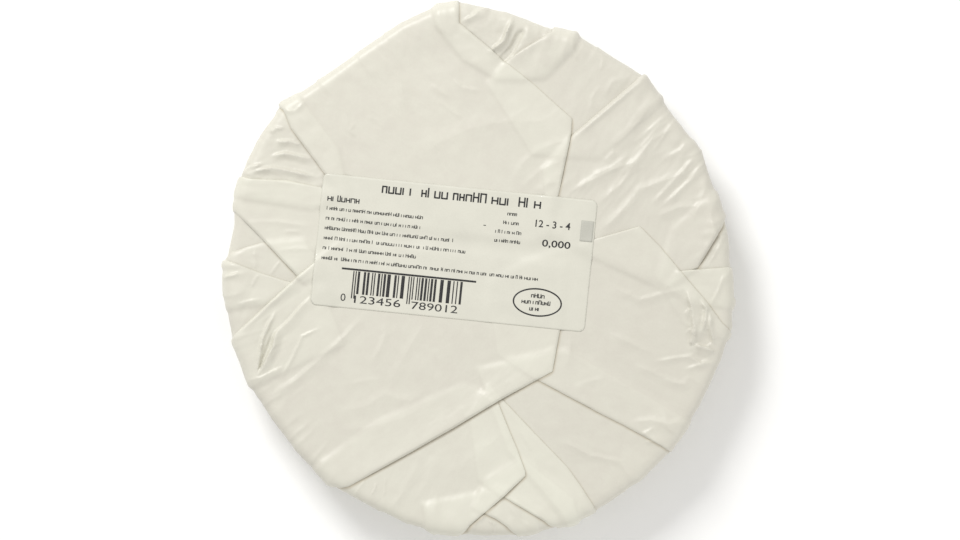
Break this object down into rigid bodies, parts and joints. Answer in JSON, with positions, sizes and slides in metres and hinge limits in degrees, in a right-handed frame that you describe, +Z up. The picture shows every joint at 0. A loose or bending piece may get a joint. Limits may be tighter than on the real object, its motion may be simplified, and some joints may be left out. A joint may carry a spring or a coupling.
{
  "type": "wrapped cheese wheel",
  "caption": "Soft-ripened cheese wheel in a folded white paper wrapper, with a plain rectangular label holding the overlapping flaps shut on top.",
  "frame": {"origin": "middle of the package's box, on the plane that it rests on", "axes": "+Z up through the wheel's thickness, out of the side where the wrapper closes; +Y along the wheel's slightly longer width, towards the top of the label's print; +X to the right of the label's print"},
  "size_m": [0.204, 0.214, 0.0307],
  "materials": {
    "cheese": "matt, soft white bloomy rind",
    "wrapper_paper": "smooth coated white paper, slightly creamy and translucent, with a soft sheen, creased",
    "label_paper": "smooth white label paper with plain dark grey print"
  },
  "bodies": {
    "root": {"cheese_wheel": "cheese", "wrapper": "wrapper_paper", "label": "label_paper"}
  },
  "joints": []
}
